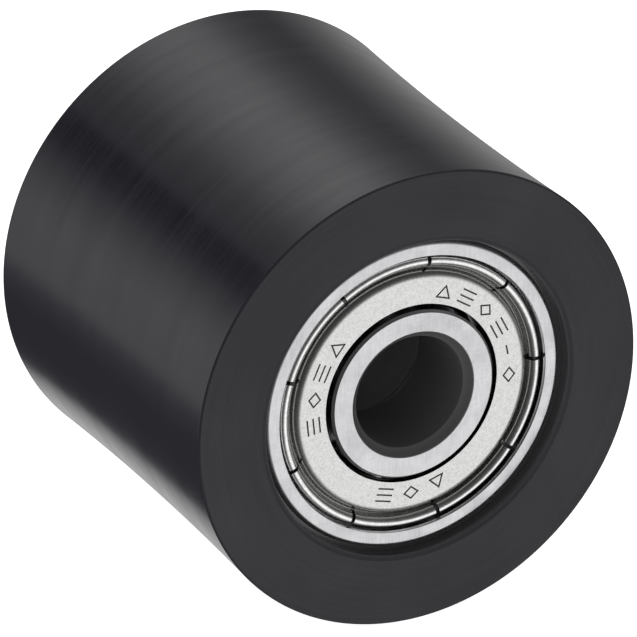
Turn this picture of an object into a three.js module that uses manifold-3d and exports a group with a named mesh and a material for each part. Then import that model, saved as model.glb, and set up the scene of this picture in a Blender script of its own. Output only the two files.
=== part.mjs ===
// Cam follower: a plastic roller on two shielded ball bearings, held by a bolt through their inner rings.
// Millimetres, +Z up. The roller's axis is Y, the origin is at mid-width on it, and the front end faces -Y.
import * as THREE from "three";
import { mergeVertices } from "three/addons/utils/BufferGeometryUtils.js";
import Module from "manifold-3d";

// Roller sleeve
const SLEEVE_WIDTH = 28.9;
const SLEEVE_RIM_RADIUS = 16.3;
const SLEEVE_WAIST_RADIUS = 16.0;
const SLEEVE_EDGE_BREAK = 0.15;
const SLEEVE_SIDE_STEPS = 6;
const RECESS_RADIUS = 11.3;
const RECESS_BEVEL_WIDTH = 0.35;
const RECESS_BEVEL_DEPTH = 0.12;
const RECESS_DEPTH = 1.1;
const SHOULDER_BORE_RADIUS = 9.6;

// Ball bearing, 8 x 22 x 7 mm, with seven balls
const BEARING_WIDTH = 7;
const BEARING_OUTER_RADIUS = 11;
const BEARING_BORE_RADIUS = 4;
const BEARING_RECESS = 0.8;
const BALL_COUNT = 7;
const BALL_RADIUS = 3.969 / 2;
const PITCH_RADIUS = 7.5;
const GROOVE_RADIUS = 2.05;
const GROOVE_STEPS = 6;

// Bearing rings
const OUTER_RING_EDGE = 0.3;
const OUTER_RING_FACE_INNER_RADIUS = 9.95;
const OUTER_LAND_RADIUS = 8.85;
const OUTER_GROOVE_BOTTOM_RADIUS = 9.54;
const SHIELD_SEAT_DEPTH = 1.1;
const SHIELD_GROOVE_LIP_RADIUS = 9.9;
const SHIELD_GROOVE_LIP_DEPTH = 0.2;
const SHIELD_GROOVE_RADIUS = 10.05;
const INNER_RING_EDGE = 0.55;
const INNER_LAND_RADIUS = 6.05;
const INNER_LAND_EDGE = 0.17;
const INNER_GROOVE_BOTTOM_RADIUS = 5.5;

// Dust shield
const SHIELD_THICKNESS = 0.26;
const SHIELD_INNER_RADIUS = 6.41;
const SHIELD_FLAT_RADIUS = 8.2;
const SHIELD_FLAT_DEPTH = 0.26;
const SHIELD_VALLEY_INNER_RADIUS = 8.7;
const SHIELD_VALLEY_OUTER_RADIUS = 8.85;
const SHIELD_VALLEY_DEPTH = 0.8;
const SHIELD_CREST_INNER_RADIUS = 9.25;
const SHIELD_CREST_OUTER_RADIUS = 9.65;
const SHIELD_CREST_DEPTH = 0.2;
const SHIELD_RIM_RADIUS = 9.85;
const SHIELD_RIM_DEPTH = 0.5;

// Ball cage: two pressed ribbons riveted together between the balls
const CAGE_INNER_RADIUS = 6.55;
const CAGE_OUTER_RADIUS = 8.45;
const CAGE_THICKNESS = 0.3;
const CAGE_HALF_GAP = 0.01;
const POCKET_CLEARANCE = 0.06;
const POCKET_STEPS = 7;
const RIVET_RADIUS = 0.36;
const RIVET_HOLE_RADIUS = 0.39;
const RIVET_HEAD_RADIUS = 0.6;
const RIVET_HEAD_HEIGHT = 0.24;
const RIVET_HEAD_GAP = 0.01;

// Spacer tube between the inner rings
const SPACER_INNER_RADIUS = 4.15;
const SPACER_OUTER_RADIUS = 5.75;
const SPACER_EDGE = 0.2;

// Fitting gap between pieces that seat against each other, and the facets of the round pieces
const SEAT_GAP = 0.02;
const RING_SEGMENTS = 48;
const RIVET_SEGMENTS = 8;
const BALL_DETAIL = 2;

const HALF_SLEEVE = SLEEVE_WIDTH / 2;
const HALF_BEARING = BEARING_WIDTH / 2;
const BEARING_CENTRE = HALF_SLEEVE - BEARING_RECESS - HALF_BEARING;
const BALL_ANGLE = (2 * Math.PI) / BALL_COUNT;

const blackPlastic = new THREE.MeshStandardMaterial({ color: 0x1c1b1e, roughness: 0.45, metalness: 0 });
const groundSteel = new THREE.MeshStandardMaterial({ color: 0xc4c5c6, roughness: 0.3, metalness: 1 });
const satinSteel = new THREE.MeshStandardMaterial({ color: 0xd6d7d6, roughness: 0.45, metalness: 1 });
const polishedSteel = new THREE.MeshStandardMaterial({ color: 0xd0d2d4, roughness: 0.08, metalness: 1 });
const pressedSteel = new THREE.MeshStandardMaterial({ color: 0xa9a8a4, roughness: 0.38, metalness: 1 });
const blackenedSteel = new THREE.MeshStandardMaterial({ color: 0x2c2c2d, roughness: 0.5, metalness: 0.6 });

const wasm = await Module();
wasm.setup();

function signedArea(points) {
  return points.reduce((sum, [x, y], i) => {
    const [nextX, nextY] = points[(i + 1) % points.length];
    return sum + (x * nextY - nextX * y) / 2;
  }, 0);
}

// Points of a circle's arc from one angle to another, both ends included.
function arcPoints(centreX, centreY, radius, fromAngle, toAngle, steps) {
  return Array.from({ length: steps + 1 }, (_, i) => {
    const angle = fromAngle + ((toAngle - fromAngle) * i) / steps;
    return [centreX + radius * Math.cos(angle), centreY + radius * Math.sin(angle)];
  });
}

// Turns a closed [radius, y] outline about the Y axis.
function turned(outline) {
  const points = signedArea(outline) > 0 ? [...outline] : [...outline].reverse();
  points.push(points[0]);
  return new THREE.LatheGeometry(points.map(([radius, y]) => new THREE.Vector2(radius, y)), RING_SEGMENTS);
}

function toSolid(geometry) {
  const bare = geometry.clone();
  bare.deleteAttribute("normal");
  bare.deleteAttribute("uv");
  const merged = mergeVertices(bare, 1e-4);
  const triVerts = new Uint32Array(merged.index.array);
  const vertProperties = merged.attributes.position.array;
  return new wasm.Manifold(new wasm.Mesh({ numProp: 3, vertProperties, triVerts }));
}

function toGeometry(solid) {
  const { vertProperties, triVerts } = solid.getMesh();
  const geometry = new THREE.BufferGeometry();
  geometry.setAttribute("position", new THREE.BufferAttribute(vertProperties, 3));
  geometry.setIndex(new THREE.BufferAttribute(triVerts, 1));
  geometry.computeVertexNormals();
  return geometry;
}

function makeMesh(name, geometry, material) {
  const mesh = new THREE.Mesh(geometry, material);
  mesh.name = name;
  return mesh;
}

// The plastic sleeve: shallow waist outside, a bevelled recess and a seat in each end, a bore between them.
function sleeveGeometry() {
  const waistRise = SLEEVE_RIM_RADIUS - SLEEVE_WAIST_RADIUS;
  const sideEnd = HALF_SLEEVE - SLEEVE_EDGE_BREAK;
  const side = Array.from({ length: SLEEVE_SIDE_STEPS + 1 }, (_, i) => {
    const y = sideEnd * ((2 * i) / SLEEVE_SIDE_STEPS - 1);
    return [SLEEVE_WAIST_RADIUS + waistRise * (y / sideEnd) ** 2, y];
  });
  const seatRadius = BEARING_OUTER_RADIUS + SEAT_GAP;
  const shoulder = HALF_SLEEVE - BEARING_RECESS - BEARING_WIDTH - SEAT_GAP;
  const rearInside = [
    [SLEEVE_RIM_RADIUS - SLEEVE_EDGE_BREAK, HALF_SLEEVE],
    [RECESS_RADIUS + RECESS_BEVEL_WIDTH, HALF_SLEEVE],
    [RECESS_RADIUS, HALF_SLEEVE - RECESS_BEVEL_DEPTH],
    [RECESS_RADIUS, HALF_SLEEVE - RECESS_DEPTH],
    [seatRadius, HALF_SLEEVE - RECESS_DEPTH],
    [seatRadius, shoulder],
    [SHOULDER_BORE_RADIUS, shoulder],
  ];
  const frontInside = rearInside.map(([radius, y]) => [radius, -y]).reverse();
  return turned([...side, ...rearInside, ...frontInside]);
}

// Ball groove of a ring: the arc's ends lie on the ring's land.
function grooveArc(centreRadius, landRadius, midAngle) {
  const halfAngle = Math.acos(Math.abs(landRadius - centreRadius) / GROOVE_RADIUS);
  return arcPoints(centreRadius, 0, GROOVE_RADIUS, midAngle - halfAngle, midAngle + halfAngle, GROOVE_STEPS);
}

// Outer ring: the shield's undercut seat is on the -Y side.
function outerRingGeometry() {
  const seatFloor = SHIELD_SEAT_DEPTH - HALF_BEARING;
  const lipDepth = SHIELD_GROOVE_LIP_DEPTH - HALF_BEARING;
  return turned([
    [OUTER_RING_FACE_INNER_RADIUS, -HALF_BEARING],
    [BEARING_OUTER_RADIUS - OUTER_RING_EDGE, -HALF_BEARING],
    [BEARING_OUTER_RADIUS, OUTER_RING_EDGE - HALF_BEARING],
    [BEARING_OUTER_RADIUS, HALF_BEARING - OUTER_RING_EDGE],
    [BEARING_OUTER_RADIUS - OUTER_RING_EDGE, HALF_BEARING],
    [OUTER_RING_FACE_INNER_RADIUS, HALF_BEARING],
    [OUTER_RING_FACE_INNER_RADIUS, -seatFloor],
    [OUTER_LAND_RADIUS, -seatFloor],
    ...grooveArc(OUTER_GROOVE_BOTTOM_RADIUS - GROOVE_RADIUS, OUTER_LAND_RADIUS, 0).reverse(),
    [OUTER_LAND_RADIUS, seatFloor],
    [SHIELD_GROOVE_RADIUS, seatFloor],
    [SHIELD_GROOVE_RADIUS, lipDepth + SHIELD_GROOVE_LIP_DEPTH],
    [SHIELD_GROOVE_LIP_RADIUS, lipDepth],
  ]);
}

function innerRingGeometry() {
  return turned([
    [BEARING_BORE_RADIUS, HALF_BEARING - INNER_RING_EDGE],
    [BEARING_BORE_RADIUS, INNER_RING_EDGE - HALF_BEARING],
    [BEARING_BORE_RADIUS + INNER_RING_EDGE, -HALF_BEARING],
    [INNER_LAND_RADIUS - INNER_LAND_EDGE, -HALF_BEARING],
    [INNER_LAND_RADIUS, INNER_LAND_EDGE - HALF_BEARING],
    ...grooveArc(INNER_GROOVE_BOTTOM_RADIUS + GROOVE_RADIUS, INNER_LAND_RADIUS, Math.PI).reverse(),
    [INNER_LAND_RADIUS, HALF_BEARING - INNER_LAND_EDGE],
    [INNER_LAND_RADIUS - INNER_LAND_EDGE, HALF_BEARING],
    [BEARING_BORE_RADIUS + INNER_RING_EDGE, HALF_BEARING],
  ]);
}

// Dust shield: flat inside, a valley round it, and a rim that curls over into the outer ring's undercut.
function shieldGeometry() {
  const outside = [
    [SHIELD_INNER_RADIUS, SHIELD_FLAT_DEPTH],
    [SHIELD_FLAT_RADIUS, SHIELD_FLAT_DEPTH],
    [SHIELD_VALLEY_INNER_RADIUS, SHIELD_VALLEY_DEPTH],
    [SHIELD_VALLEY_OUTER_RADIUS, SHIELD_VALLEY_DEPTH],
    [SHIELD_CREST_INNER_RADIUS, SHIELD_CREST_DEPTH],
    [SHIELD_CREST_OUTER_RADIUS, SHIELD_CREST_DEPTH],
    [SHIELD_RIM_RADIUS, SHIELD_RIM_DEPTH],
  ];
  const inside = [
    [SHIELD_RIM_RADIUS, SHIELD_VALLEY_DEPTH + SHIELD_THICKNESS],
    [SHIELD_VALLEY_INNER_RADIUS - SHIELD_THICKNESS / 2, SHIELD_VALLEY_DEPTH + SHIELD_THICKNESS],
    [SHIELD_FLAT_RADIUS - SHIELD_THICKNESS / 2, SHIELD_FLAT_DEPTH + SHIELD_THICKNESS],
    [SHIELD_INNER_RADIUS, SHIELD_FLAT_DEPTH + SHIELD_THICKNESS],
  ];
  return turned([...outside, ...inside].map(([radius, depth]) => [radius, depth - HALF_BEARING]));
}

// One ribbon half, on the -Y side of the balls: flat tabs between round pockets, round the pitch circle.
function cageHalfGeometry() {
  const pocketRadius = BALL_RADIUS + POCKET_CLEARANCE;
  const backRadius = pocketRadius + CAGE_THICKNESS;
  const pocketStart = Math.asin(CAGE_HALF_GAP / pocketRadius);
  const backStart = Math.asin((CAGE_HALF_GAP + CAGE_THICKNESS) / backRadius);
  const nearArc = arcPoints(0, 0, pocketRadius, Math.PI - pocketStart, pocketStart, POCKET_STEPS);
  const farArc = arcPoints(0, 0, backRadius, Math.PI - backStart, backStart, POCKET_STEPS);
  const positions = [];
  const indices = [];
  const stationCount = BALL_COUNT * nearArc.length;
  for (let ball = 0; ball < BALL_COUNT; ball++) {
    nearArc.forEach(([nearX, nearHeight], i) => {
      const [farX, farHeight] = farArc[i];
      const nearAngle = ball * BALL_ANGLE + nearX / PITCH_RADIUS;
      const farAngle = ball * BALL_ANGLE + farX / PITCH_RADIUS;
      const corners = [
        [CAGE_INNER_RADIUS, nearAngle, nearHeight],
        [CAGE_OUTER_RADIUS, nearAngle, nearHeight],
        [CAGE_OUTER_RADIUS, farAngle, farHeight],
        [CAGE_INNER_RADIUS, farAngle, farHeight],
      ];
      corners.forEach(([radius, angle, height]) => {
        positions.push(radius * Math.cos(angle), -height, radius * Math.sin(angle));
      });
    });
  }
  for (let station = 0; station < stationCount; station++) {
    const here = 4 * station;
    const next = 4 * ((station + 1) % stationCount);
    for (let corner = 0; corner < 4; corner++) {
      const after = (corner + 1) % 4;
      indices.push(here + corner, next + corner, here + after);
      indices.push(here + after, next + corner, next + after);
    }
  }
  const ribbon = new THREE.BufferGeometry();
  ribbon.setAttribute("position", new THREE.Float32BufferAttribute(positions, 3));
  ribbon.setIndex(indices);
  return withRivetHoles(ribbon);
}

// Angle of the tab between one ball and the next.
function rivetAngle(index) {
  return (index + 0.5) * BALL_ANGLE;
}

function onPitchCircle(object, angle) {
  object.position.set(PITCH_RADIUS * Math.cos(angle), 0, PITCH_RADIUS * Math.sin(angle));
  return object;
}

function withRivetHoles(ribbon) {
  const drillRadius = RIVET_HOLE_RADIUS;
  const drill = new THREE.CylinderGeometry(drillRadius, drillRadius, BEARING_WIDTH, RIVET_SEGMENTS);
  let solid = toSolid(ribbon);
  for (let i = 0; i < BALL_COUNT; i++) {
    const angle = rivetAngle(i);
    const hole = drill.clone().translate(PITCH_RADIUS * Math.cos(angle), 0, PITCH_RADIUS * Math.sin(angle));
    solid = solid.subtract(toSolid(hole));
  }
  return toGeometry(solid);
}

function rivetGeometry() {
  const headBase = CAGE_HALF_GAP + CAGE_THICKNESS + RIVET_HEAD_GAP;
  const headTop = headBase + RIVET_HEAD_HEIGHT;
  const upper = [
    [RIVET_RADIUS, headBase],
    [RIVET_HEAD_RADIUS, headBase],
    [RIVET_HEAD_RADIUS, headBase + RIVET_HEAD_HEIGHT / 2],
    [0, headTop],
  ];
  const lower = upper.map(([radius, y]) => [radius, -y]).reverse();
  const points = [...lower, ...upper].map(([radius, y]) => new THREE.Vector2(radius, y));
  return new THREE.LatheGeometry(points, RIVET_SEGMENTS);
}

function spacerGeometry() {
  const halfLength = HALF_SLEEVE - BEARING_RECESS - BEARING_WIDTH - SEAT_GAP;
  return turned([
    [SPACER_INNER_RADIUS, -halfLength],
    [SPACER_OUTER_RADIUS - SPACER_EDGE, -halfLength],
    [SPACER_OUTER_RADIUS, SPACER_EDGE - halfLength],
    [SPACER_OUTER_RADIUS, halfLength - SPACER_EDGE],
    [SPACER_OUTER_RADIUS - SPACER_EDGE, halfLength],
    [SPACER_INNER_RADIUS, halfLength],
  ]);
}

// A whole bearing about its own centre, shielded face towards -Y. The rear one is turned end for end about X.
function makeBearing(end) {
  const bearing = new THREE.Group();
  const ballGeometry = new THREE.IcosahedronGeometry(BALL_RADIUS, BALL_DETAIL);
  const cageGeometry = cageHalfGeometry();
  const rivet = rivetGeometry();
  const innerHalf = makeMesh(`cage_${end}_inner`, cageGeometry, pressedSteel);
  innerHalf.rotation.x = Math.PI;
  bearing.add(
    makeMesh(`outer_ring_${end}`, outerRingGeometry(), groundSteel),
    makeMesh(`inner_ring_${end}`, innerRingGeometry(), groundSteel),
    makeMesh(`shield_${end}`, shieldGeometry(), satinSteel),
    makeMesh(`cage_${end}_outer`, cageGeometry, pressedSteel),
    innerHalf,
  );
  for (let i = 0; i < BALL_COUNT; i++) {
    bearing.add(onPitchCircle(makeMesh(`ball_${end}_${i + 1}`, ballGeometry, polishedSteel), i * BALL_ANGLE));
    bearing.add(onPitchCircle(makeMesh(`rivet_${end}_${i + 1}`, rivet, pressedSteel), rivetAngle(i)));
  }
  return bearing;
}

const follower = new THREE.Group();
const frontBearing = makeBearing("front");
const rearBearing = makeBearing("rear");
frontBearing.position.y = -BEARING_CENTRE;
rearBearing.position.y = BEARING_CENTRE;
rearBearing.rotation.x = Math.PI;
follower.add(
  makeMesh("roller_sleeve", sleeveGeometry(), blackPlastic),
  makeMesh("spacer_tube", spacerGeometry(), blackenedSteel),
  frontBearing,
  rearBearing,
);

export default follower;
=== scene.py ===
"""Looks of the cam follower: a black plastic roller on two shielded ball bearings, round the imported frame.

Everything is in metres in the frame's own axes: the roller's axis is Y, its front end faces -Y, and +Z is up.
"""

import math

import bmesh
import bpy
from mathutils import Matrix, Vector
from mathutils.geometry import delaunay_2d_cdt


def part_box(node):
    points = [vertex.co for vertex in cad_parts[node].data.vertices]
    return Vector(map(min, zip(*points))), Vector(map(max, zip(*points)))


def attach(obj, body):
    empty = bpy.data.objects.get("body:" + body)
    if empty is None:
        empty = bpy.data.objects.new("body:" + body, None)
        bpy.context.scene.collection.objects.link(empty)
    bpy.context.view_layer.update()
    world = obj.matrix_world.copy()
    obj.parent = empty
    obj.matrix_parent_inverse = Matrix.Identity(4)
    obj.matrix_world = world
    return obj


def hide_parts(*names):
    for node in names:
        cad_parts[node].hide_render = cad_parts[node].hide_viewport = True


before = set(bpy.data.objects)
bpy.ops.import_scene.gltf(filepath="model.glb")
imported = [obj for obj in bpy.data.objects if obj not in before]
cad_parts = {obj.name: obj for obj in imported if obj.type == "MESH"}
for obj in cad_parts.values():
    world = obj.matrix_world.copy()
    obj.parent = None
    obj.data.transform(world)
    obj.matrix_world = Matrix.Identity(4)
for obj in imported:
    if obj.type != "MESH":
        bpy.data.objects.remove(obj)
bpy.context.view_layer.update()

MM = 0.001

# --------------------------------------------------------------------------------------------------
# Driving sizes. Places come from the frame's boxes; the rest are the bearing's own sizes, in metres.

sleeve_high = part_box("roller_sleeve")[1]
RIM_RADIUS = sleeve_high.z
HALF_WIDTH = sleeve_high.y
WAIST_SAG = 0.3 * MM
SIDE_STEPS = 40
RIM_ROUND = 0.16 * MM
RECESS_RADIUS = 11.3 * MM
RECESS_BEVEL_WIDTH = 0.35 * MM
RECESS_BEVEL_DEPTH = 0.12 * MM
RECESS_DEPTH = 1.1 * MM
SHOULDER_RADIUS = 9.6 * MM

ring_low, ring_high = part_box("outer_ring_front")
RING_RADIUS = ring_high.z
RING_WIDTH = ring_high.y - ring_low.y
HALF_RING = RING_WIDTH / 2
FACE_Y = -ring_low.y
SEAT_GAP = 0.02 * MM

RING_CORNER = 0.32 * MM
RING_FACE_INNER = 9.95 * MM
LIP_RADIUS = 9.9 * MM
UNDERCUT_RADIUS = 10.05 * MM
LIP_DEPTH = 0.2 * MM
UNDERCUT_DEPTH = 0.42 * MM
SHIELD_SEAT_DEPTH = 1.1 * MM
OUTER_LAND = 8.85 * MM
OUTER_GROOVE_BOTTOM = 9.52 * MM
GROOVE_RADIUS = 2.05 * MM

BORE_RADIUS = 4 * MM
BORE_ROUND = 0.55 * MM
INNER_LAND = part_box("inner_ring_front")[1].z
INNER_EDGE = 0.17 * MM
INNER_GROOVE_BOTTOM = 5.5 * MM

PITCH_RADIUS = 7.5 * MM
BALL_COUNT = 7
BALL_RADIUS = 3.969 / 2 * MM
BALL_ANGLE = 2 * math.pi / BALL_COUNT

SHIELD_THICKNESS = 0.26 * MM
SHIELD_INNER = 6.41 * MM
SHIELD_FLAT_DEPTH = 0.26 * MM
VALLEY_DEPTH = 0.8 * MM
CURL_RADIUS = 9.42 * MM
CREST_DEPTH = 0.2 * MM
BEND_FILLET = 0.47 * MM
VALLEY_FILLET = 0.14 * MM
CURL_FILLET = 0.29 * MM
BEND_SLOPE = 70
# Radii of the shield's valley that is painted a darker grey, as painted shade.
VALLEY_SHADE_START = 8.6 * MM
VALLEY_SHADE_END = 9.05 * MM
CURL_FOOT = 9.2 * MM
FLAT_BEND_RADIUS = 8.2 * MM
FLAT_EDGE_INNER = 6.5 * MM
FLAT_EDGE_OUTER = 8.05 * MM
SLIT_COUNT = 9
SLIT_HALF_WIDTH = 0.14 * MM
SLIT_START_ANGLE = math.radians(2.3)

POCKET_CLEARANCE = 0.06 * MM
CAGE_THICKNESS = 0.3 * MM
CAGE_GAP = 0.01 * MM
CAGE_INNER = 6.55 * MM
CAGE_OUTER = 8.45 * MM
CAGE_EDGE = 0.07 * MM

RIVET_HOLE = 0.39 * MM
RIVET_SHANK = 0.36 * MM
RIVET_HEAD = 0.6 * MM
RIVET_HEAD_HEIGHT = 0.24 * MM

RING_STEPS = 180
SLEEVE_STEPS = 240
LOBE_STEPS = 20
CORNER_STEP = math.radians(9)
SMOOTH_TURN = math.radians(12)

ENDS = {"front": 1, "rear": -1}


# --------------------------------------------------------------------------------------------------
# Mesh building

class Skin:
    """Collects faces with a normal at every corner, and makes one closed mesh object of them."""

    def __init__(self):
        self.points = []
        self.faces = []
        self.normals = []

    def point(self, x, y, z):
        self.points.append(Vector((x, y, z)))
        return len(self.points) - 1

    def face(self, corners, normals):
        self.faces.append(list(corners))
        self.normals.append([Vector(n) for n in normals])

    def flat_face(self, corners):
        a, b, c = (self.points[i] for i in corners[:3])
        normal = (b - a).cross(c - a).normalized()
        self.face(corners, [normal] * len(corners))

    def volume(self):
        total = 0.0
        for corners in self.faces:
            first = self.points[corners[0]]
            for i in range(1, len(corners) - 1):
                total += first.dot(self.points[corners[i]].cross(self.points[corners[i + 1]]))
        return total / 6

    def turn_over(self):
        """Turns everything by half a turn about X, from the front end to the rear end."""
        self.points = [Vector((p.x, -p.y, -p.z)) for p in self.points]
        self.normals = [[Vector((n.x, -n.y, -n.z)) for n in normals] for normals in self.normals]

    def finish(self, name):
        if self.volume() < 0:
            self.faces = [corners[::-1] for corners in self.faces]
            self.normals = [normals[::-1] for normals in self.normals]
        mesh = bpy.data.meshes.new(name)
        mesh.from_pydata(self.points, [], self.faces)
        mesh.polygons.foreach_set("use_smooth", [True] * len(mesh.polygons))
        mesh.normals_split_custom_set([n for normals in self.normals for n in normals])
        return link(name, mesh)


def link(name, mesh):
    made = bpy.data.objects.new(name, mesh)
    bpy.context.scene.collection.objects.link(made)
    return made


def right_of(direction):
    return Vector((direction.y, -direction.x))


def signed_area(corners):
    pairs = zip(corners, corners[1:] + corners[:1])
    return sum(a[0] * b[1] - b[0] * a[1] for a, b in pairs) / 2


def rounded_outline(corners):
    """Segments (start, end, start normal, end normal) of a closed (radius, y, fillet) outline, rounded."""
    if signed_area(corners) < 0:
        corners = corners[::-1]
    count = len(corners)
    spots = []
    for i, (x, y, fillet) in enumerate(corners):
        here = Vector((x, y))
        before = (here - Vector(corners[i - 1][:2])).normalized()
        after = (Vector(corners[(i + 1) % count][:2]) - here).normalized()
        turn = math.atan2(before.x * after.y - before.y * after.x, before.dot(after))
        if fillet > 0:
            reach = fillet * math.tan(abs(turn) / 2)
            side = math.copysign(1, turn)
            centre = here - before * reach - right_of(before) * fillet * side
            steps = max(2, math.ceil(abs(turn) / CORNER_STEP))
            for k in range(steps + 1):
                normal = Matrix.Rotation(turn * k / steps, 2) @ right_of(before)
                spots.append((centre + normal * fillet * side, normal, normal))
        elif abs(turn) < SMOOTH_TURN:
            normal = (right_of(before) + right_of(after)).normalized()
            spots.append((here, normal, normal))
        else:
            spots.append((here, right_of(before), right_of(after)))
    return [
        (spot[0], following[0], spot[2], following[1])
        for spot, following in zip(spots, spots[1:] + spots[:1])
    ]


def turned_skin(corners, steps=RING_STEPS):
    """A solid turned about Y from a closed outline. Points on the axis become single poles."""
    segments = rounded_outline(corners)
    skin = Skin()
    turns = [(math.cos(2 * math.pi * j / steps), math.sin(2 * math.pi * j / steps)) for j in range(steps)]
    rows = []
    for start, _, _, _ in segments:
        if start.x < 1e-9:
            rows.append([skin.point(0, start.y, 0)] * steps)
        else:
            rows.append([skin.point(start.x * c, start.y, start.x * s) for c, s in turns])
    for i, (start, end, start_normal, end_normal) in enumerate(segments):
        if start.x < 1e-9 and end.x < 1e-9:
            continue
        row, following = rows[i], rows[(i + 1) % len(rows)]
        for j in range(steps):
            k = (j + 1) % steps
            corners_here = [(row[j], start_normal, j), (row[k], start_normal, k)]
            corners_next = [(following[k], end_normal, k), (following[j], end_normal, j)]
            loop = corners_here[: 1 if start.x < 1e-9 else 2] + corners_next[: 1 if end.x < 1e-9 else 2]
            skin.face(
                [point for point, _, _ in loop],
                [(n.x * turns[t][0], n.y, n.x * turns[t][1]) for _, n, t in loop],
            )
    return skin


def turned(name, corners, steps=RING_STEPS):
    return turned_skin(corners, steps).finish(name)


def at_end(corners, side):
    """Moves a bearing's (radius, depth below its face, fillet) outline to its end. side is 1 in front."""
    return [(radius, side * (depth - FACE_Y), fillet) for radius, depth, fillet in corners]


def place(piece, body, slot, material, *nodes):
    """Every piece rides on its body, stands for its CAD nodes and takes the material it is given. The slot
    argument is not used.
    """
    piece.data.materials.clear()
    piece.data.materials.append(material)
    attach(piece, body)
    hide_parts(*nodes)
    return piece


# --------------------------------------------------------------------------------------------------
# Materials

class Shader:
    """A Principled material under construction, in the coordinates of the piece itself."""

    def __init__(self, name, colour, roughness, metallic=0.0, **fixed):
        self.material = bpy.data.materials.new(name)
        self.material.use_nodes = True
        self.tree = self.material.node_tree
        self.bsdf = self.tree.nodes["Principled BSDF"]
        self.bsdf.inputs["Metallic"].default_value = metallic
        for socket, value in fixed.items():
            self.bsdf.inputs[socket.replace("_", " ")].default_value = value
        self.bsdf.inputs["Base Color"].default_value = (*colour, 1)
        self.bsdf.inputs["Roughness"].default_value = roughness
        place_node = self.tree.nodes.new("ShaderNodeTexCoord")
        self.place = place_node.outputs["Object"]
        split = self.tree.nodes.new("ShaderNodeSeparateXYZ")
        self.tree.links.new(self.place, split.inputs[0])
        self.x, self.y, self.z = split.outputs

    def set_input(self, socket, value):
        if isinstance(value, bpy.types.NodeSocket):
            self.tree.links.new(value, socket)
        else:
            socket.default_value = value

    def math(self, operation, *values):
        made = self.tree.nodes.new("ShaderNodeMath")
        made.operation = operation
        for socket, value in zip(made.inputs, values):
            self.set_input(socket, value)
        return made.outputs[0]

    def radius(self):
        x_squared = self.math("MULTIPLY", self.x, self.x)
        z_squared = self.math("MULTIPLY", self.z, self.z)
        return self.math("SQRT", self.math("ADD", x_squared, z_squared))

    def angle(self):
        return self.math("ARCTAN2", self.z, self.x)

    def vector(self, x, y, z):
        made = self.tree.nodes.new("ShaderNodeCombineXYZ")
        for socket, value in zip(made.inputs, (x, y, z)):
            self.set_input(socket, value)
        return made.outputs[0]

    def stretched(self, x, y, z):
        made = self.tree.nodes.new("ShaderNodeMapping")
        made.inputs["Scale"].default_value = (x, y, z)
        self.tree.links.new(self.place, made.inputs["Vector"])
        return made.outputs[0]

    def noise(self, vector, scale, detail=2.0, roughness=0.5):
        made = self.tree.nodes.new("ShaderNodeTexNoise")
        made.inputs["Scale"].default_value = scale
        made.inputs["Detail"].default_value = detail
        made.inputs["Roughness"].default_value = roughness
        self.tree.links.new(vector, made.inputs["Vector"])
        return made.outputs["Fac"]

    def fit(self, value, from_low, from_high, to_low, to_high):
        made = self.tree.nodes.new("ShaderNodeMapRange")
        for socket, number in zip(made.inputs[:5], (value, from_low, from_high, to_low, to_high)):
            self.set_input(socket, number)
        return made.outputs[0]

    def mix(self, factor, low, high):
        """Blends two numbers or sockets by a factor from 0 to 1."""
        made = self.tree.nodes.new("ShaderNodeMix")
        self.set_input(made.inputs[0], factor)
        self.set_input(made.inputs[2], low)
        self.set_input(made.inputs[3], high)
        return made.outputs[0]

    def mix_colour(self, factor, low, high):
        made = self.tree.nodes.new("ShaderNodeMix")
        made.data_type = "RGBA"
        self.set_input(made.inputs[0], factor)
        self.set_input(made.inputs[6], low if isinstance(low, bpy.types.NodeSocket) else (*low, 1))
        self.set_input(made.inputs[7], high if isinstance(high, bpy.types.NodeSocket) else (*high, 1))
        return made.outputs[2]

    def bump(self, *layers):
        """Stacks (height socket, depth in metres) layers of fine relief."""
        normal = None
        for height, depth in layers:
            made = self.tree.nodes.new("ShaderNodeBump")
            made.inputs["Distance"].default_value = depth
            made.inputs["Strength"].default_value = 1.0
            self.tree.links.new(height, made.inputs["Height"])
            if normal is not None:
                self.tree.links.new(normal, made.inputs["Normal"])
            normal = made.outputs[0]
        self.tree.links.new(normal, self.bsdf.inputs["Normal"])

    def roughness(self, value):
        self.tree.links.new(value, self.bsdf.inputs["Roughness"])

    def specular(self, value):
        self.set_input(self.bsdf.inputs["Specular IOR Level"], value)

    def metallic(self, value):
        self.set_input(self.bsdf.inputs["Metallic"], value)

    def colour(self, value):
        self.tree.links.new(value, self.bsdf.inputs["Base Color"])


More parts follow.
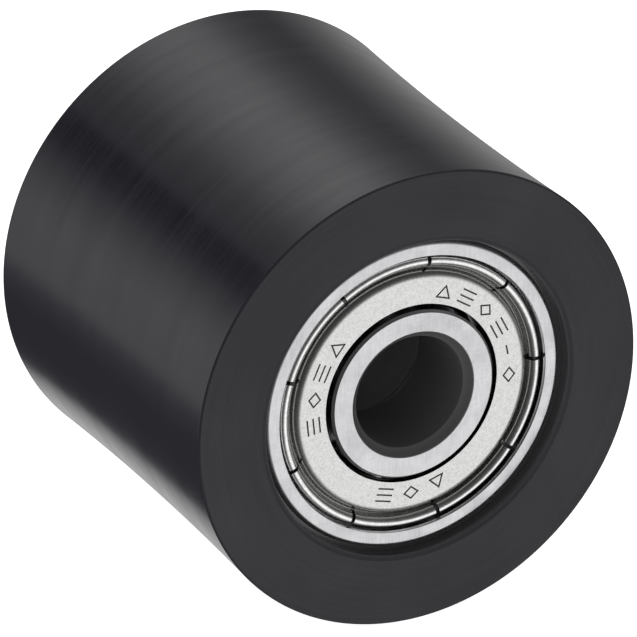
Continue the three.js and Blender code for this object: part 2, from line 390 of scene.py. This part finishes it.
def black_plastic():
    """Turned black plastic: satin on the running surface, matte with fine turning lines on the end faces, and
    a lighter painted reflection inside the bearing recess.
    """
    s = Shader("black_plastic", (0.02, 0.0195, 0.0222), 0.3, IOR=1.5)
    radius = s.radius()
    end_face = s.fit(s.math("ABSOLUTE", s.y), HALF_WIDTH - 0.12 * MM, HALF_WIDTH - 0.04 * MM, 0, 1)
    side_lines = s.noise(s.stretched(60, 4200, 60), 1.0, 3.0, 0.6)
    side_waves = s.noise(s.stretched(90, 260, 90), 1.0, 2.0, 0.5)
    side_smears = s.noise(s.stretched(70, 900, 70), 1.0, 3.0, 0.6)
    turning = s.vector(s.math("MULTIPLY", radius, 5200.0), s.math("MULTIPLY", s.angle(), 1.2), 0.0)
    face_lines = s.noise(turning, 1.0, 3.0)
    grain = s.noise(s.place, 6500.0, 2.0, 0.6)
    smudges = s.noise(s.place, 120.0, 3.0, 0.55)
    lines = s.mix(end_face, side_lines, face_lines)
    side_wear = s.math("ADD", side_lines, s.math("MULTIPLY", side_smears, 0.6))
    side_roughness = s.fit(side_wear, 0.5, 1.1, 0.13, 0.24)
    face_roughness = s.fit(smudges, 0.3, 0.7, 0.5, 0.58)
    s.roughness(s.mix(end_face, side_roughness, face_roughness))
    shade = s.fit(s.math("ADD", lines, grain), 0.7, 1.3, 0.0, 1.0)
    turned_colour = s.mix_colour(shade, (0.0142, 0.0134, 0.0188), (0.022, 0.0208, 0.0284))
    # Inside the bearing recess the plastic is painted a lighter grey: a painted reflection of the bearing
    # ring on the recess wall.
    recess_reflection = s.fit(radius, RECESS_RADIUS + 0.02 * MM, RECESS_RADIUS + 0.1 * MM, 1, 0)
    s.colour(s.mix_colour(recess_reflection, turned_colour, (0.045, 0.044, 0.047)))
    s.specular(s.fit(side_smears, 0.3, 0.7, 0.42, 0.58))
    s.bump((side_waves, 0.016 * MM), (lines, 0.0016 * MM), (grain, 0.0006 * MM))
    return s.material


def ground_steel():
    """Ground bearing steel: bright faces with fine scratches, and a bore painted dark as painted shade."""
    s = Shader("ground_steel", (0.7, 0.7, 0.71), 0.3, metallic=1.0)
    radius = s.radius()
    scratch_up = s.noise(s.stretched(9000, 9000, 900), 1.0, 3.0, 0.65)
    scratch_across = s.noise(s.stretched(1400, 6000, 11000), 1.0, 2.0, 0.6)
    scratches = s.math("ADD", s.math("MULTIPLY", scratch_up, 0.6), s.math("MULTIPLY", scratch_across, 0.4))
    cloud = s.noise(s.place, 700.0, 2.0, 0.5)
    # The bore is painted near black with less metal sheen: painted shade for the dark inside of the hole.
    in_bore = s.fit(radius, BORE_RADIUS + BORE_ROUND - 0.05 * MM, BORE_RADIUS + BORE_ROUND, 1, 0)
    face_colour = s.mix_colour(s.fit(scratches, 0.3, 0.7, 0, 1), (0.53, 0.53, 0.545), (0.7, 0.7, 0.71))
    rounding = s.fit(radius, BORE_RADIUS + 0.03 * MM, BORE_RADIUS + 0.3 * MM, 0, 1)
    bore_shade_colour = s.mix_colour(rounding, (0.11, 0.11, 0.112), (0.085, 0.085, 0.087))
    s.colour(s.mix_colour(in_bore, face_colour, bore_shade_colour))
    s.metallic(s.fit(in_bore, 0, 1, 1.0, 0.35))
    face_roughness = s.fit(cloud, 0.3, 0.7, 0.26, 0.36)
    s.roughness(s.mix(in_bore, face_roughness, 0.5))
    s.bump((scratches, 0.0025 * MM))
    return s.material


def shield_steel():
    """Pressed shield: a fine grained satin flat, dark marks, painted shade in the valley and a smoother rim.
    """
    s = Shader("shield_steel", (0.8, 0.8, 0.8), 0.4, metallic=1.0)
    radius = s.radius()
    grains = s.noise(s.place, 9000.0, 3.0, 0.7)
    blotches = s.noise(s.place, 2600.0, 2.0, 0.5)
    rim = s.fit(radius, FLAT_BEND_RADIUS, FLAT_BEND_RADIUS + 0.5 * MM, 0, 1)
    level = FACE_Y - SHIELD_FLAT_DEPTH
    below = s.fit(s.math("ABSOLUTE", s.y), level - 0.04 * MM, level - 0.01 * MM, 1, 0)
    on_flat = s.math("LESS_THAN", radius, FLAT_EDGE_OUTER)
    engraved = s.math("MULTIPLY", below, on_flat)
    sparkle = s.math("ADD", s.math("MULTIPLY", grains, 0.65), s.math("MULTIPLY", blotches, 0.35))
    # The valley between the bend and the curl gets a darker grey: painted shade, where the deep valley lies
    # in shadow.
    past_bend = s.fit(radius, FLAT_BEND_RADIUS, VALLEY_SHADE_START, 0, 1)
    before_curl = s.fit(radius, VALLEY_SHADE_END, CURL_FOOT, 1, 0)
    valley_shade = s.math("MULTIPLY", past_bend, before_curl)
    bare = s.mix_colour(s.fit(sparkle, 0.35, 0.65, 0, 1), (0.62, 0.62, 0.615), (0.98, 0.98, 0.97))
    valley_shaded = s.mix_colour(valley_shade, bare, (0.5, 0.5, 0.49))
    s.colour(s.mix_colour(engraved, valley_shaded, (0.08, 0.08, 0.075)))
    s.roughness(s.mix(rim, s.fit(blotches, 0.3, 0.7, 0.34, 0.42), 0.2))
    s.bump((sparkle, 0.006 * MM))
    return s.material


def polished_steel():
    s = Shader("ball_steel", (0.78, 0.79, 0.8), 0.08, metallic=1.0)
    haze = s.noise(s.place, 900.0, 3.0, 0.6)
    s.roughness(s.fit(haze, 0.3, 0.7, 0.05, 0.12))
    s.colour(s.mix_colour(haze, (0.72, 0.73, 0.74), (0.84, 0.85, 0.86)))
    s.bump((haze, 0.0003 * MM))
    return s.material


def strip_steel(name, dark, light):
    """Cold-rolled strip or wire: fine rolling lines and uneven sheen."""
    s = Shader(name, light, 0.35, metallic=1.0)
    rolling = s.noise(s.stretched(5200, 900, 900), 1.0, 3.0, 0.6)
    uneven = s.noise(s.place, 1500.0, 2.0, 0.5)
    s.colour(s.mix_colour(rolling, dark, light))
    s.roughness(s.fit(uneven, 0.3, 0.7, 0.28, 0.45))
    s.bump((rolling, 0.0015 * MM))
    return s.material


def blackened_steel():
    """Drawn tube with a dark oxide skin, with fine turning lines round it."""
    s = Shader("spacer_steel", (0.2, 0.2, 0.202), 0.5, metallic=0.35)
    rings = s.noise(s.stretched(200, 5200, 200), 1.0, 3.0, 0.6)
    uneven = s.noise(s.place, 800.0, 2.0, 0.5)
    s.colour(s.mix_colour(uneven, (0.17, 0.17, 0.172), (0.22, 0.22, 0.222)))
    s.roughness(s.fit(rings, 0.3, 0.7, 0.42, 0.6))
    s.bump((rings, 0.002 * MM))
    return s.material


# --------------------------------------------------------------------------------------------------
# Roller sleeve and spacer

def make_sleeve(material):
    rim_edge = [(RIM_RADIUS, y, RIM_ROUND) for y in (-HALF_WIDTH, HALF_WIDTH)]
    waist = []
    for i in range(1, SIDE_STEPS):
        share = 2 * i / SIDE_STEPS - 1
        waist.append((RIM_RADIUS - WAIST_SAG * (1 - share ** 2), share * HALF_WIDTH, 0))
    seat = RING_RADIUS + SEAT_GAP
    shoulder = FACE_Y - RING_WIDTH - SEAT_GAP
    rear_seat = [
        (RECESS_RADIUS + RECESS_BEVEL_WIDTH, HALF_WIDTH, 0.2 * MM),
        (RECESS_RADIUS, HALF_WIDTH - RECESS_BEVEL_DEPTH, 0.06 * MM),
        (RECESS_RADIUS, HALF_WIDTH - RECESS_DEPTH, 0.03 * MM),
        (seat, HALF_WIDTH - RECESS_DEPTH, 0.03 * MM),
        (seat, shoulder, 0.15 * MM),
        (SHOULDER_RADIUS, shoulder, 0.2 * MM),
    ]
    front_seat = [(radius, -y, fillet) for radius, y, fillet in reversed(rear_seat)]
    outline = [rim_edge[0], *waist, rim_edge[1], *rear_seat, *front_seat]
    sleeve = turned("roller_sleeve_turned", outline, SLEEVE_STEPS)
    return place(sleeve, "roller", "black_plastic", material, "roller_sleeve")


def make_spacer(material):
    low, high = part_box("spacer_tube")
    bore = BORE_RADIUS + 0.15 * MM
    outline = [
        (bore, low.y, 0.1 * MM),
        (high.z, low.y, 0.2 * MM),
        (high.z, high.y, 0.2 * MM),
        (bore, high.y, 0.1 * MM),
    ]
    spacer = turned("spacer_tube_drawn", outline, 96)
    return place(spacer, "core", "spacer_steel", material, "spacer_tube")


# --------------------------------------------------------------------------------------------------
# Bearing rings and balls

def groove(bottom, land, outward):
    """Outline corners of a ball groove, in order of depth. outward is 1 on the outer ring."""
    centre = bottom - outward * GROOVE_RADIUS
    half = math.acos(abs(land - centre) / GROOVE_RADIUS)
    steps = 24
    corners = []
    for i in range(steps + 1):
        angle = half * (2 * i / steps - 1)
        depth = HALF_RING + GROOVE_RADIUS * math.sin(angle)
        corners.append((centre + outward * GROOVE_RADIUS * math.cos(angle), depth, 0))
    return corners


def make_outer_ring(end, side, material):
    outline = [
        (RING_FACE_INNER, 0, 0.03 * MM),
        (RING_RADIUS, 0, RING_CORNER),
        (RING_RADIUS, RING_WIDTH, RING_CORNER),
        (RING_FACE_INNER, RING_WIDTH, 0.08 * MM),
        (RING_FACE_INNER, RING_WIDTH - SHIELD_SEAT_DEPTH, 0.05 * MM),
        (OUTER_LAND, RING_WIDTH - SHIELD_SEAT_DEPTH, 0.1 * MM),
        *reversed(groove(OUTER_GROOVE_BOTTOM, OUTER_LAND, 1)),
        (OUTER_LAND, SHIELD_SEAT_DEPTH, 0.1 * MM),
        (UNDERCUT_RADIUS, SHIELD_SEAT_DEPTH, 0.05 * MM),
        (UNDERCUT_RADIUS, UNDERCUT_DEPTH, 0.03 * MM),
        (LIP_RADIUS, LIP_DEPTH, 0.02 * MM),
    ]
    name = f"outer_ring_{end}"
    ring = turned(name + "_ground", at_end(outline, side))
    return place(ring, "roller", "ground_steel", material, name)


def make_inner_ring(end, side, material):
    outline = [
        (BORE_RADIUS, BORE_ROUND, 0.12 * MM),
        (BORE_RADIUS + BORE_ROUND, 0, 0.03 * MM),
        (INNER_LAND - INNER_EDGE, 0, 0.02 * MM),
        (INNER_LAND, INNER_EDGE, 0.03 * MM),
        *groove(INNER_GROOVE_BOTTOM, INNER_LAND, -1),
        (INNER_LAND, RING_WIDTH, 0.14 * MM),
        (BORE_RADIUS, RING_WIDTH, BORE_ROUND),
    ]
    name = f"inner_ring_{end}"
    ring = turned(name + "_ground", at_end(outline, side))
    return place(ring, "core", "ground_steel", material, name)


def make_ball(name, material):
    low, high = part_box(name)
    centre = (low + high) / 2
    made = bmesh.new()
    bmesh.ops.create_icosphere(made, subdivisions=4, radius=BALL_RADIUS)
    mesh = bpy.data.meshes.new(name)
    made.to_mesh(mesh)
    made.free()
    mesh.polygons.foreach_set("use_smooth", [True] * len(mesh.polygons))
    mesh.normals_split_custom_set_from_vertices([v.co.normalized() for v in mesh.vertices])
    ball = link(name + "_polished", mesh)
    ball.location = centre
    return place(ball, name, "ball_steel", material, name)


# --------------------------------------------------------------------------------------------------
# Dust shield

def arc(centre_r, centre_d, radius, start, end, steps):
    """Points and outward directions of an arc, its angles measured from +radius towards the outside."""
    spots = []
    for i in range(steps + 1):
        angle = math.radians(start + (end - start) * i / steps)
        direction = (math.cos(angle), -math.sin(angle))
        spots.append((centre_r + radius * direction[0], centre_d + radius * direction[1], direction))
    return spots


def shield_section():
    """The shield's middle line as (radius, depth, outward normal): inner edge, bend, valley and curl."""
    half = SHIELD_THICKNESS / 2
    flat = SHIELD_FLAT_DEPTH + half
    lean = math.radians(90 - BEND_SLOPE)
    first = arc(FLAT_BEND_RADIUS, flat + BEND_FILLET, BEND_FILLET, 90, 90 - BEND_SLOPE, 8)
    end_r, end_d, _ = first[-1]
    valley_r = end_r + VALLEY_FILLET * math.cos(lean)
    valley_d = VALLEY_DEPTH + half - VALLEY_FILLET
    valley_r += (valley_d + VALLEY_FILLET * math.sin(lean) - end_d) * math.tan(lean)
    bottom = []
    for r, d, (nr, nd) in arc(valley_r, valley_d, VALLEY_FILLET, 270 - BEND_SLOPE, 340, 14):
        bottom.append((r, d, (-nr, -nd)))
    top = arc(CURL_RADIUS, CREST_DEPTH + half + CURL_FILLET, CURL_FILLET, 172, -20, 20)
    return [(SHIELD_INNER, flat, (0, -1))], first, bottom, top


MARK_DEPTH = 0.05 * MM
MARK_STROKE = 0.12 * MM
MARK_RADIUS = 7.33 * MM
MARK_HALF_HEIGHT = 0.5 * MM
MARK_HALF_LENGTH = 0.6 * MM
SHORT_BAR_HALF_LENGTH = 0.36 * MM
# Each row of marks: where it starts and how far apart its marks are, in degrees, and the kind of each mark.
MARK_ROWS = (
    (-10, 14.67, "diamond bar bars diamond bars triangle"),
    (133, 15, "triangle bars diamond bars"),
    (246.2, 15.8, "bars diamond triangle"),
)


def bar(out, length):
    """Corners of a straight engraved stroke that runs round the shield, in (outward, along) offsets."""
    half = MARK_STROKE / 2
    return [(out - half, -length), (out + half, -length), (out + half, length), (out - half, length)]


def mark_loops(kind):
    """The strokes of one engraved mark, each a list of closed loops. A second loop leaves an island."""
    rise, half = MARK_HALF_HEIGHT, MARK_HALF_LENGTH
    if kind == "bar":
        return [[bar(0, SHORT_BAR_HALF_LENGTH)]]
    if kind == "bars":
        gap = rise - MARK_STROKE / 2
        return [[bar(out, half)] for out in (-gap, 0, gap)]
    if kind == "diamond":
        shape = [(-rise, 0), (0, half), (rise, 0), (0, -half)]
        shrink = 1 - MARK_STROKE * math.hypot(1 / rise, 1 / half)
        return [[shape, [(out * shrink, along * shrink) for out, along in shape]]]
    shape = [(-rise, -half), (rise, 0), (-rise, half)]
    middle = -rise + 2 * rise * half / (half + math.hypot(half, 2 * rise))
    shrink = 1 - MARK_STROKE / (middle + rise)
    return [[shape, [(middle + (out - middle) * shrink, along * shrink) for out, along in shape]]]


def mark_point(angle, out, along):
    """The (x, z) point at an (outward, along) offset from the marks' circle."""
    c, s = math.cos(angle), math.sin(angle)
    return (MARK_RADIUS + out) * c - along * s, (MARK_RADIUS + out) * s + along * c


def engraved_marks():
    """All marks on the shield's flat, as lists of loops of (x, z) points: plain shapes with no meaning."""
    strokes = []
    for start, pitch, kinds in MARK_ROWS:
        for i, kind in enumerate(kinds.split()):
            angle = math.radians(start + pitch * (i + 0.5))
            for loops in mark_loops(kind):
                strokes.append([[mark_point(angle, out, along) for out, along in loop] for loop in loops])
    return strokes


def add_engraved_flat(skin, inner_row, outer_row, y, floor_y, normal, strokes):
    """Fills the flat between two rows of the shield's grid, with the marks sunk to floor_y."""
    points = [(skin.points[i].x, skin.points[i].z) for i in inner_row + outer_row]
    count = len(inner_row)
    loops = [list(range(count)), list(range(count, 2 * count))]
    for stroke in strokes:
        for loop in stroke:
            loops.append(list(range(len(points), len(points) + len(loop))))
            points.extend(loop)
    found = delaunay_2d_cdt([Vector(p) for p in points], [], loops, 0, 1e-9)
    flat_points, _, triangles, original_points, _, original_faces = found
    at_level = {}

    def corner(index, sunk):
        if (index, sunk) not in at_level:
            source = original_points[index]
            on_grid = [i for i in source if i < 2 * count]
            if on_grid and not sunk:
                at_level[index, sunk] = (inner_row + outer_row)[on_grid[0]]
            else:
                x, z = flat_points[index]
                at_level[index, sunk] = skin.point(x, floor_y if sunk else y, z)
        return at_level[index, sunk]

    edges = {}
    for triangle, inside in zip(triangles, original_faces):
        if 0 in inside or 1 not in inside:
            continue
        sunk = (len(inside) - 1) % 2 == 1
        skin.face([corner(i, sunk) for i in triangle], [normal] * len(triangle))
        if sunk:
            for a, b in zip(triangle, triangle[1:] + triangle[:1]):
                edges[a, b] = True
    for a, b in edges:
        if (b, a) not in edges:
            skin.flat_face([corner(b, True), corner(a, True), corner(a, False), corner(b, False)])


def make_shield(end, side, material):
    """The shield as a grid of sections round the axis. Its curl is cut into lobes by narrow radial slits."""
    edge, bend, valley, curl = shield_section()
    _, flat_depth, outward = edge[0]
    flat = [(FLAT_EDGE_INNER, flat_depth, outward), (FLAT_EDGE_OUTER, flat_depth, outward)]
    line = edge + flat + bend + valley + curl
    slit_from = len(line) - len(curl) - 1
    half = SHIELD_THICKNESS / 2
    angles, in_slit = [], []
    slit_angle = SLIT_HALF_WIDTH / CURL_RADIUS
    for k in range(SLIT_COUNT):
        middle = SLIT_START_ANGLE + 2 * math.pi * k / SLIT_COUNT
        lobe = 2 * math.pi / SLIT_COUNT - 2 * slit_angle
        angles.append(middle - slit_angle)
        in_slit.append(True)
        for i in range(LOBE_STEPS):
            angles.append(middle + slit_angle + lobe * i / LOBE_STEPS)
            in_slit.append(False)
    turns = [(math.cos(a), math.sin(a)) for a in angles]
    skin = Skin()

    def row(index, sign):
        r, d, (nr, nd) = line[index]
        radius, y = r + sign * nr * half, d + sign * nd * half - FACE_Y
        return [skin.point(radius * c, y, radius * s) for c, s in turns]

    outside = [row(i, 1) for i in range(len(line))]
    inside = [row(i, -1) for i in range(len(line))]
    count = len(angles)

    def normals_at(index, sign, *columns):
        _, _, (nr, nd) = line[index]
        return [(sign * nr * turns[j][0], sign * nd, sign * nr * turns[j][1]) for j in columns]

    def strip(rows, i, j, sign):
        k = (j + 1) % count
        loop = [rows[i][j], rows[i][k], rows[i + 1][k], rows[i + 1][j]]
        normals = normals_at(i, sign, j, k) + normals_at(i + 1, sign, k, j)
        if sign > 0:
            loop, normals = loop[::-1], normals[::-1]
        skin.face(loop, normals)

    last = len(line) - 1
    for j in range(count):
        k = (j + 1) % count
        for i in range(last):
            if in_slit[j] and i >= slit_from:
                continue
            if i != 1:
                strip(outside, i, j, 1)
            strip(inside, i, j, -1)
        stop = slit_from if in_slit[j] else last
        skin.flat_face([inside[stop][j], inside[stop][k], outside[stop][k], outside[stop][j]])
        skin.flat_face([inside[0][k], inside[0][j], outside[0][j], outside[0][k]])
        if in_slit[j]:
            for i in range(slit_from, last):
                skin.flat_face([outside[i][j], outside[i + 1][j], inside[i + 1][j], inside[i][j]])
                skin.flat_face([outside[i + 1][k], outside[i][k], inside[i][k], inside[i + 1][k]])
    flat_y = SHIELD_FLAT_DEPTH - FACE_Y
    add_engraved_flat(skin, outside[1], outside[2], flat_y, flat_y + MARK_DEPTH, (0, -1, 0), engraved_marks())
    if side < 0:
        skin.turn_over()
    name = f"shield_{end}"
    shield = skin.finish(name + "_pressed")
    return place(shield, "roller", "shield_steel", material, name)


# --------------------------------------------------------------------------------------------------
# Ball cage and rivets

def evaluated_copy(source, name):
    """A plain mesh object with the source's modifiers applied. The source is removed."""
    bpy.context.view_layer.update()
    mesh = bpy.data.meshes.new_from_object(source.evaluated_get(bpy.context.evaluated_depsgraph_get()))
    bpy.data.objects.remove(source)
    mesh.name = name
    return link(name, mesh)


def soften(piece, degrees=35):
    piece.data.polygons.foreach_set("use_smooth", [True] * len(piece.data.polygons))
    piece.data.set_sharp_from_angle(angle=math.radians(degrees))


def ribbon_section():
    """One ball pitch of the ribbon's two faces: a (distance along the pitch circle, height) pair for each."""
    near_radius = BALL_RADIUS + POCKET_CLEARANCE
    far_radius = near_radius + CAGE_THICKNESS
    near_start = math.asin(CAGE_GAP / near_radius)
    far_start = math.asin((CAGE_GAP + CAGE_THICKNESS) / far_radius)
    steps = 26
    section = []
    for i in range(steps + 1):
        share = i / steps
        near_angle = math.pi - near_start + (2 * near_start - math.pi) * share
        far_angle = math.pi - far_start + (2 * far_start - math.pi) * share
        section.append((
            (near_radius * math.cos(near_angle), near_radius * math.sin(near_angle)),
            (far_radius * math.cos(far_angle), far_radius * math.sin(far_angle)),
        ))
    return section


def make_cage_half(end, half_name, centre_y, outward, material):
    """A pressed ribbon with rounded edges and a rivet hole in each tab. outward is its pockets' side."""
    made = bmesh.new()
    loops = []
    for ball in range(BALL_COUNT):
        for near, far in ribbon_section():
            corners = []
            edges = ((CAGE_INNER, near), (CAGE_OUTER, near), (CAGE_OUTER, far), (CAGE_INNER, far))
            for radius, (x, height) in edges:
                angle = ball * BALL_ANGLE + x / PITCH_RADIUS
                y = centre_y + outward * height
                corners.append(made.verts.new((radius * math.cos(angle), y, radius * math.sin(angle))))
            loops.append(corners)
    for here, following in zip(loops, loops[1:] + loops[:1]):
        for i in range(4):
            k = (i + 1) % 4
            made.faces.new((here[i], here[k], following[k], following[i]))
    bmesh.ops.recalc_face_normals(made, faces=made.faces)
    sharp = [e for e in made.edges if len(e.link_faces) == 2 and e.calc_face_angle(0) > math.radians(60)]
    bmesh.ops.bevel(made, geom=sharp, offset=CAGE_EDGE, segments=2, affect="EDGES", profile=0.5)
    mesh = bpy.data.meshes.new("ribbon")
    made.to_mesh(mesh)
    made.free()
    ribbon = link("ribbon", mesh)
    drills = bmesh.new()
    for i in range(BALL_COUNT):
        angle = (i + 0.5) * BALL_ANGLE
        spot = Vector((PITCH_RADIUS * math.cos(angle), centre_y, PITCH_RADIUS * math.sin(angle)))
        turn = Matrix.Translation(spot) @ Matrix.Rotation(math.pi / 2, 4, "X")
        bmesh.ops.create_cone(
            drills,
            cap_ends=True,
            segments=24,
            radius1=RIVET_HOLE,
            radius2=RIVET_HOLE,
            depth=RING_WIDTH,
            matrix=turn,
        )
    drill_mesh = bpy.data.meshes.new("drills")
    drills.to_mesh(drill_mesh)
    drills.free()
    drill = link("drills", drill_mesh)
    cut = ribbon.modifiers.new("holes", "BOOLEAN")
    cut.operation = "DIFFERENCE"
    cut.solver = "EXACT"
    cut.object = drill
    node = f"cage_{end}_{half_name}"
    cage = evaluated_copy(ribbon, node + "_ribbon")
    bpy.data.objects.remove(drill)
    soften(cage)
    return place(cage, f"cage_{end}", "cage_steel", material, node)


def make_rivet(node, body, material):
    """A headed rivet through both ribbons, turned about its own axis."""
    low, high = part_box(node)
    centre = (low + high) / 2
    top = (high.y - low.y) / 2
    base = top - RIVET_HEAD_HEIGHT
    upper = [
        (RIVET_SHANK, base, 0),
        (RIVET_HEAD, base, 0.03 * MM),
        (RIVET_HEAD, base + RIVET_HEAD_HEIGHT * 0.45, 0.06 * MM),
        (RIVET_HEAD * 0.55, top, 0.2 * MM),
        (0, top, 0),
    ]
    lower = [(radius, -y, fillet) for radius, y, fillet in reversed(upper)]
    rivet = turned(node + "_headed", lower + upper, 32)
    rivet.location = centre
    return place(rivet, body, "rivet_steel", material, node)


# --------------------------------------------------------------------------------------------------
# Stage: camera, floor and a studio of long soft strips that run along the roller

CAMERA_AZIMUTH = math.radians(-28.1)
CAMERA_ELEVATION = math.radians(26.36)
CAMERA_DISTANCE = 0.535
CAMERA_LENS = 451
AIM_RIGHT = 0.184 * MM
AIM_UP = -0.323 * MM


def make_camera():
    a, e = CAMERA_AZIMUTH, CAMERA_ELEVATION
    back = Vector((math.sin(a) * math.cos(e), -math.cos(a) * math.cos(e), math.sin(e)))
    right = Vector((math.cos(a), math.sin(a), 0))
    up = back.cross(right)
    camera = bpy.data.objects.new("camera", bpy.data.cameras.new("camera"))
    bpy.context.scene.collection.objects.link(camera)
    spot = back * CAMERA_DISTANCE + right * AIM_RIGHT + up * AIM_UP
    camera.matrix_world = Matrix.Translation(spot) @ Matrix((right, up, back)).transposed().to_4x4()
    camera.data.lens = CAMERA_LENS
    camera.data.sensor_width = 36
    camera.data.clip_start = 0.01
    camera.data.clip_end = 20
    bpy.context.scene.camera = camera


def make_floor():
    made = bmesh.new()
    bmesh.ops.create_grid(made, x_segments=8, y_segments=8, size=3)
    mesh = bpy.data.meshes.new("floor")
    made.to_mesh(mesh)
    made.free()
    floor = link("floor", mesh)
    floor.location.z = -RIM_RADIUS
    floor.visible_glossy = False
    material = bpy.data.materials.new("pale_floor")
    material.use_nodes = True
    bsdf = material.node_tree.nodes["Principled BSDF"]
    bsdf.inputs["Base Color"].default_value = (0.86, 0.86, 0.86, 1)
    bsdf.inputs["Roughness"].default_value = 0.9
    bsdf.inputs["Specular IOR Level"].default_value = 0.0
    bsdf.inputs["Emission Color"].default_value = (1, 1, 1, 1)
    bsdf.inputs["Emission Strength"].default_value = 0.93
    mesh.materials.append(material)


# The studio is a ring of soft strips along Y. Each row is an angle round the axis in degrees, from +X (0) up
# over the top (90) and round, with the brightness that the strip has there.
STUDIO = (
    (0, 0.42), (14, 0.3), (27, 0.17), (40, 0.3), (52, 0.6), (64, 1.15), (76, 1.38), (88, 1.25), (100, 0.9),
    (112, 0.5), (123, 0.33), (132.6, 0.28), (134, 0.01), (147, 0.06), (158, 0.4), (170, 0.72), (182, 0.84),
    (195, 0.7), (209, 0.62), (214, 0.2), (228, 0.05), (269, 0.03), (272, 0.75), (290, 0.97), (314, 0.68),
    (328, 0.44), (340, 0.52), (350, 0.48), (360, 0.42),
)
STUDIO_TOP = 1.6
# The front of the studio: one big soft light and a weaker one overhead. Each row is the cosine of the angle
# from the middle of the big light, and the brightness there.
FRONT_LIGHT = (0.4222, -0.7904, -0.4439)
FRONT_FADE = (
    (-1, 0.06), (-0.4, 0.07), (0.1, 0.08), (0.5, 0.1), (0.77, 0.17),
    (0.85, 0.3), (0.92, 0.7), (0.97, 1.4), (1, 1.55),
)
OVERHEAD_BRIGHTNESS = 0.55
FILL_BRIGHTNESS = 0.75


def make_studio():
    world = bpy.data.worlds.new("studio")
    bpy.context.scene.world = world
    world.use_nodes = True
    world.cycles.sampling_method = "NONE"
    tree = world.node_tree
    tree.nodes.clear()

    def add(kind, **settings):
        made = tree.nodes.new(kind)
        for key, value in settings.items():
            setattr(made, key, value)
        return made

    def math_node(operation, first, second=None, third=None):
        made = add("ShaderNodeMath", operation=operation)
        for socket, value in zip(made.inputs, (first, second, third)):
            if isinstance(value, bpy.types.NodeSocket):
                tree.links.new(value, socket)
            elif value is not None:
                socket.default_value = value
        return made.outputs[0]

    def ramp(value, table):
        made = add("ShaderNodeValToRGB")
        tree.links.new(value, made.inputs[0])
        stops = made.color_ramp.elements
        while len(stops) > 1:
            stops.remove(stops[-1])
        for i, (position, brightness) in enumerate(table):
            stop = stops[0] if i == 0 else stops.new(position)
            stop.position = position
            level = brightness / STUDIO_TOP
            stop.color = (level, level, level, 1)
        return math_node("MULTIPLY", made.outputs[0], STUDIO_TOP)

    def fade(value, start, end):
        made = add("ShaderNodeMapRange", interpolation_type="SMOOTHSTEP")
        tree.links.new(value, made.inputs[0])
        for socket, constant in zip(made.inputs[1:5], (start, end, 0.0, 1.0)):
            socket.default_value = constant
        return made.outputs[0]

    def blend(share, first, second):
        return math_node("MULTIPLY_ADD", share, math_node("SUBTRACT", second, first), first)

    split = add("ShaderNodeSeparateXYZ")
    direction = add("ShaderNodeTexCoord").outputs["Generated"]
    tree.links.new(direction, split.inputs[0])
    x, y, z = split.outputs
    signed_turns = math_node("DIVIDE", math_node("ARCTAN2", z, x), 2 * math.pi)
    turns = math_node("FRACT", math_node("ADD", signed_turns, 1.0))
    strips = ramp(turns, [(degrees / 360, brightness) for degrees, brightness in STUDIO])
    towards = add("ShaderNodeVectorMath", operation="DOT_PRODUCT")
    tree.links.new(direction, towards.inputs[0])
    towards.inputs[1].default_value = FRONT_LIGHT
    nearness = math_node("MULTIPLY_ADD", towards.outputs["Value"], 0.5, 0.5)
    big_light = ramp(nearness, [(cosine / 2 + 0.5, brightness) for cosine, brightness in FRONT_FADE])
    to_the_right = math_node("MULTIPLY", fade(x, -0.7, 0.0), fade(y, -0.4, 0.05))
    overhead = math_node("MULTIPLY", fade(z, 0.1, 0.6), to_the_right)
    front = math_node("MULTIPLY_ADD", overhead, OVERHEAD_BRIGHTNESS, big_light)
    sides = blend(fade(y, 0.4, 0.68), front, strips)
    reflected = blend(fade(y, 0.88, 0.99), sides, FILL_BRIGHTNESS)
    ray = add("ShaderNodeLightPath").outputs
    glossy = ray["Is Glossy Ray"]
    plain = math_node("MULTIPLY", math_node("SUBTRACT", 1.0, glossy), FILL_BRIGHTNESS)
    strength = math_node("MULTIPLY_ADD", reflected, glossy, plain)
    background = add("ShaderNodeBackground")
    tree.links.new(strength, background.inputs["Strength"])
    output = add("ShaderNodeOutputWorld")
    tree.links.new(background.outputs[0], output.inputs[0])


# --------------------------------------------------------------------------------------------------

def main():
    bpy.context.scene.view_settings.view_transform = "Standard"
    make_camera()
    make_floor()
    make_studio()
    plastic = black_plastic()
    ground = ground_steel()
    pressed = shield_steel()
    polished = polished_steel()
    strip = strip_steel("cage_steel", (0.42, 0.41, 0.4), (0.62, 0.61, 0.59))
    wire = strip_steel("rivet_steel", (0.4, 0.4, 0.4), (0.6, 0.6, 0.6))
    make_sleeve(plastic)
    make_spacer(blackened_steel())
    for end, side in ENDS.items():
        make_outer_ring(end, side, ground)
        make_inner_ring(end, side, ground)
        make_shield(end, side, pressed)
        centre_y = side * (HALF_RING - FACE_Y)
        make_cage_half(end, "outer", centre_y, -side, strip)
        make_cage_half(end, "inner", centre_y, side, strip)
        for i in range(1, BALL_COUNT + 1):
            make_ball(f"ball_{end}_{i}", polished)
            make_rivet(f"rivet_{end}_{i}", f"cage_{end}", wire)


main()
